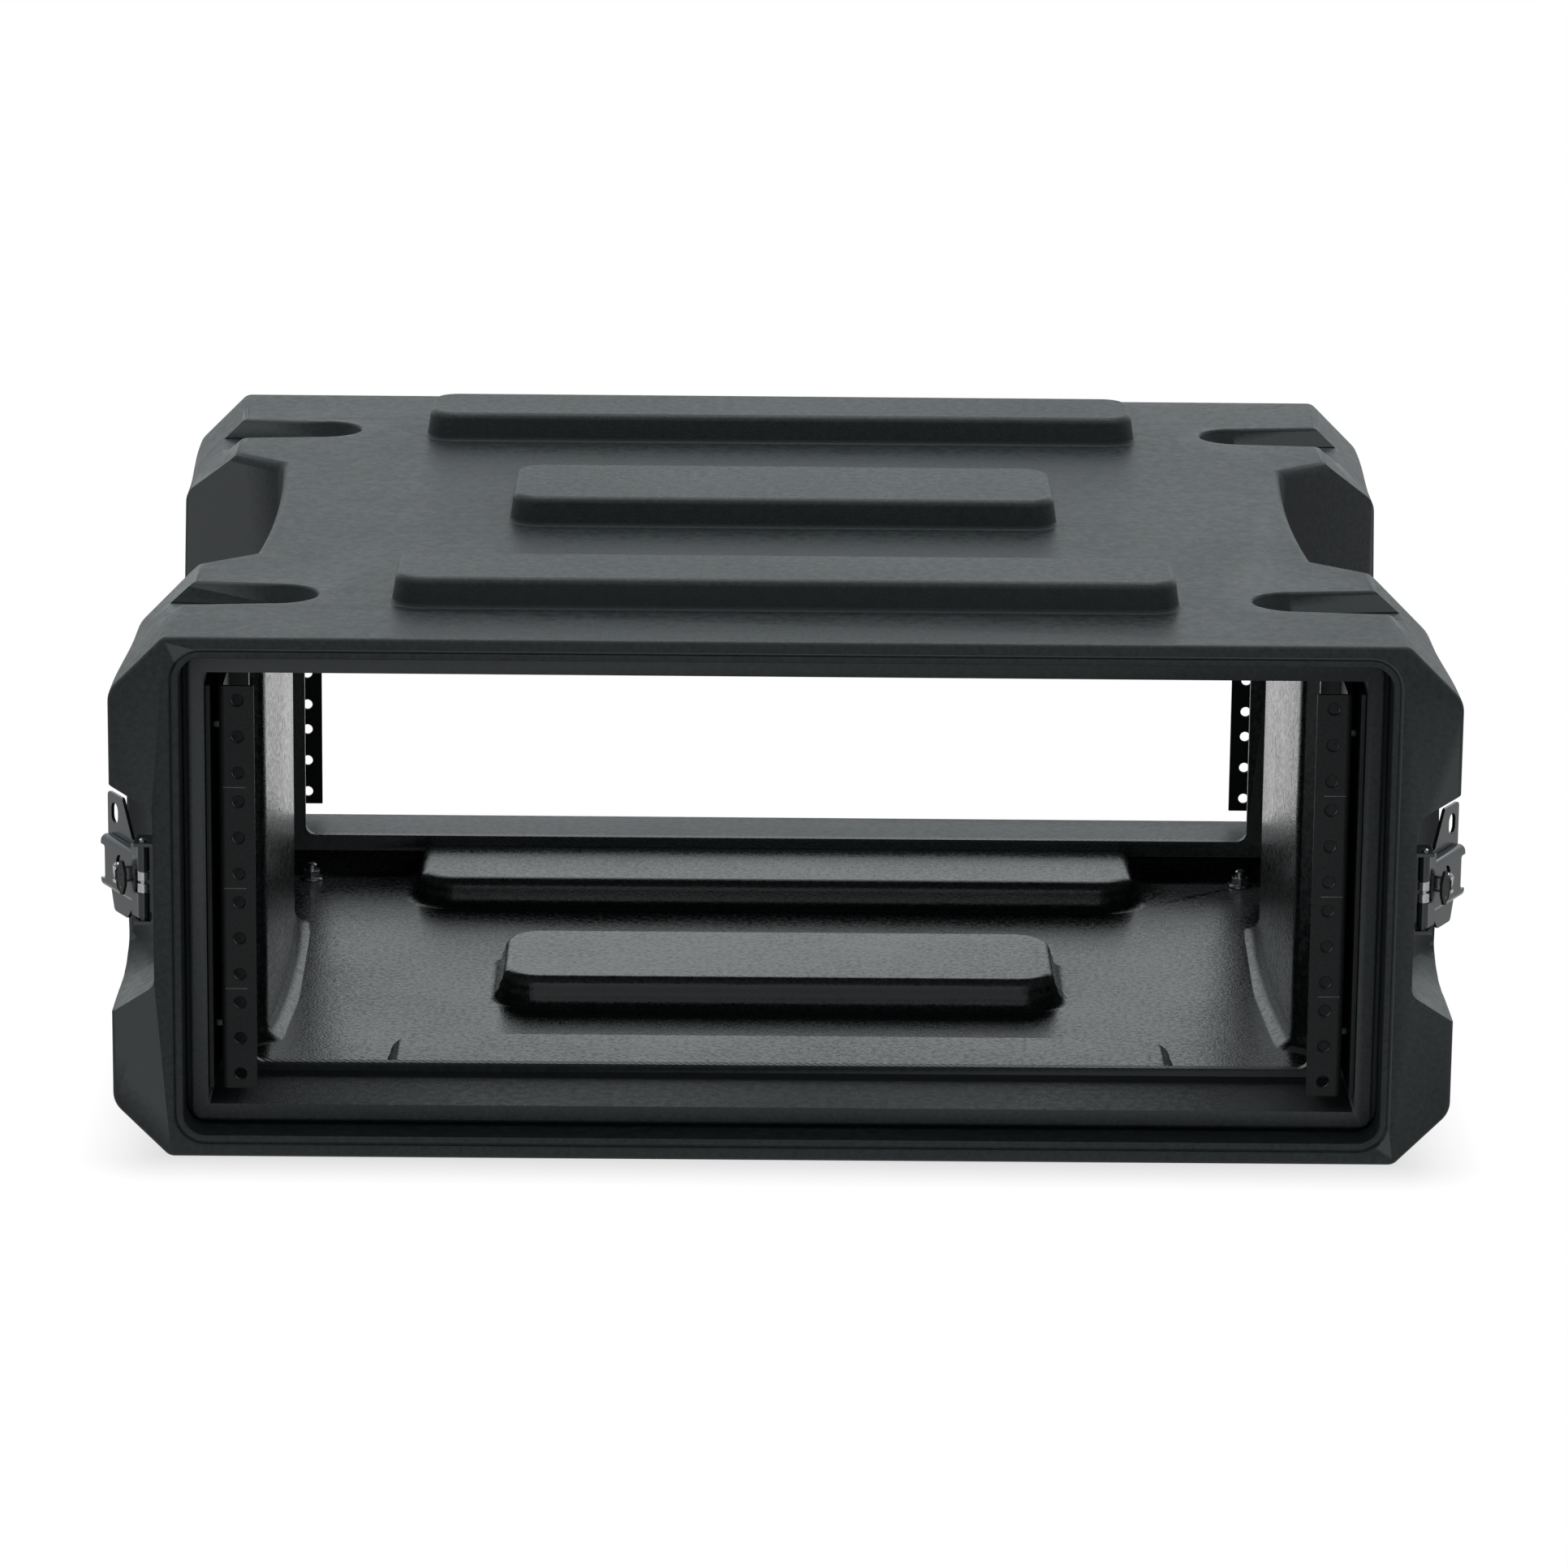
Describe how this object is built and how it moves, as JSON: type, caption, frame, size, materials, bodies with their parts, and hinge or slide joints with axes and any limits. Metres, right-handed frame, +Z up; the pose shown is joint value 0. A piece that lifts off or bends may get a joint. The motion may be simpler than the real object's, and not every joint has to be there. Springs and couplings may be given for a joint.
{
  "type": "equipment rack case",
  "caption": "Moulded equipment rack case with open ends, inner mounting rails, stacking ribs, swing latches with folding wings, rubber feet and sprung side handles.",
  "frame": {"origin": "on the ground under the middle of the case", "axes": "+X to the right seen from the front, +Y to the rear, +Z up"},
  "size_m": [0.589, 0.5186, 0.2497],
  "materials": {
    "shell": "fine-grained moulded polyethylene",
    "steel": "satin black powder coat",
    "zinc": "bright zinc plate",
    "rubber": "matt moulded rubber"
  },
  "bodies": {
    "case": {"case_shell": "shell", "rail_front_left": "steel", "rail_bolt_front_left_upper": "steel", "rail_bolt_front_left_lower": "steel", "foot_front_left": "rubber", "foot_bolt_front_left": "zinc", "foot_nut_front_left": "zinc", "latch_bracket_front_left": "steel", "latch_pin_front_left": "zinc", "rail_front_right": "steel", "rail_bolt_front_right_upper": "steel", "rail_bolt_front_right_lower": "steel", "foot_front_right": "rubber", "foot_bolt_front_right": "zinc", "foot_nut_front_right": "zinc", "latch_bracket_front_right": "steel", "latch_pin_front_right": "zinc", "rail_rear_left": "steel", "rail_bolt_rear_left_upper": "steel", "rail_bolt_rear_left_lower": "steel", "foot_rear_left": "rubber", "foot_bolt_rear_left": "zinc", "foot_nut_rear_left": "zinc", "latch_bracket_rear_left": "steel", "latch_pin_rear_left": "zinc", "rail_rear_right": "steel", "rail_bolt_rear_right_upper": "steel", "rail_bolt_rear_right_lower": "steel", "foot_rear_right": "rubber", "foot_bolt_rear_right": "zinc", "foot_nut_rear_right": "zinc", "latch_bracket_rear_right": "steel", "latch_pin_rear_right": "zinc", "handle_plate_left": "steel", "handle_spring_left": "zinc", "handle_plate_right": "steel", "handle_spring_right": "zinc"},
    "latch_front_left": {"latch_cover_front_left": "steel", "latch_hasp_front_left": "steel"},
    "hub_front_left": {"latch_hub_front_left": "steel"},
    "wing_front_left": {"latch_wing_front_left": "steel"},
    "latch_front_right": {"latch_cover_front_right": "steel", "latch_hasp_front_right": "steel"},
    "hub_front_right": {"latch_hub_front_right": "steel"},
    "wing_front_right": {"latch_wing_front_right": "steel"},
    "latch_rear_left": {"latch_cover_rear_left": "steel", "latch_hasp_rear_left": "steel"},
    "hub_rear_left": {"latch_hub_rear_left": "steel"},
    "wing_rear_left": {"latch_wing_rear_left": "steel"},
    "latch_rear_right": {"latch_cover_rear_right": "steel", "latch_hasp_rear_right": "steel"},
    "hub_rear_right": {"latch_hub_rear_right": "steel"},
    "wing_rear_right": {"latch_wing_rear_right": "steel"},
    "handle_left": {"handle_bail_left": "steel", "handle_grip_left": "rubber"},
    "handle_right": {"handle_bail_right": "steel", "handle_grip_right": "rubber"}
  },
  "joints": [
    {"name": "latch_swing_front_left", "type": "hinge", "parent": "case", "child": "latch_front_left", "pos_m": [-0.2733, -0.2383, 0.12425], "axis": [0, 0, 1], "range_deg": [-22, 120]},
    {"name": "hub_turn_front_left", "type": "hinge", "parent": "latch_front_left", "child": "hub_front_left", "pos_m": [-0.2826, -0.22082, 0.12425], "axis": [-0.8829, -0.4695, 0], "range_deg": [0, 180]},
    {"name": "wing_fold_front_left", "type": "hinge", "parent": "hub_front_left", "child": "wing_front_left", "pos_m": [-0.28547, -0.22756, 0.12425], "axis": [0, 0, -1], "range_deg": [0, 90]},
    {"name": "latch_swing_front_right", "type": "hinge", "parent": "case", "child": "latch_front_right", "pos_m": [0.2733, -0.2383, 0.12425], "axis": [0, 0, -1], "range_deg": [-22, 120]},
    {"name": "hub_turn_front_right", "type": "hinge", "parent": "latch_front_right", "child": "hub_front_right", "pos_m": [0.2826, -0.22082, 0.12425], "axis": [0.8829, -0.4695, 0], "range_deg": [0, 180]},
    {"name": "wing_fold_front_right", "type": "hinge", "parent": "hub_front_right", "child": "wing_front_right", "pos_m": [0.28547, -0.22756, 0.12425], "axis": [0, 0, 1], "range_deg": [0, 90]},
    {"name": "latch_swing_rear_left", "type": "hinge", "parent": "case", "child": "latch_rear_left", "pos_m": [-0.2733, 0.2383, 0.12425], "axis": [0, 0, -1], "range_deg": [-22, 120]},
    {"name": "hub_turn_rear_left", "type": "hinge", "parent": "latch_rear_left", "child": "hub_rear_left", "pos_m": [-0.2826, 0.22082, 0.12425], "axis": [-0.8829, 0.4695, 0], "range_deg": [0, 180]},
    {"name": "wing_fold_rear_left", "type": "hinge", "parent": "hub_rear_left", "child": "wing_rear_left", "pos_m": [-0.28547, 0.22756, 0.12425], "axis": [0, 0, 1], "range_deg": [0, 90]},
    {"name": "latch_swing_rear_right", "type": "hinge", "parent": "case", "child": "latch_rear_right", "pos_m": [0.2733, 0.2383, 0.12425], "axis": [0, 0, 1], "range_deg": [-22, 120]},
    {"name": "hub_turn_rear_right", "type": "hinge", "parent": "latch_rear_right", "child": "hub_rear_right", "pos_m": [0.2826, 0.22082, 0.12425], "axis": [0.8829, 0.4695, 0], "range_deg": [0, 180]},
    {"name": "wing_fold_rear_right", "type": "hinge", "parent": "hub_rear_right", "child": "wing_rear_right", "pos_m": [0.28547, 0.22756, 0.12425], "axis": [0, 0, -1], "range_deg": [0, 90]},
    {"name": "handle_lift_left", "type": "hinge", "parent": "case", "child": "handle_left", "pos_m": [-0.24798, 0, 0.15225], "axis": [0, 1, 0], "range_deg": [0, 95], "stiffness_Nm_per_rad": 0.05, "springref_deg": -17.19},
    {"name": "handle_lift_right", "type": "hinge", "parent": "case", "child": "handle_right", "pos_m": [0.24798, 0, 0.15225], "axis": [0, -1, 0], "range_deg": [0, 95], "stiffness_Nm_per_rad": 0.05, "springref_deg": -17.19}
  ]
}
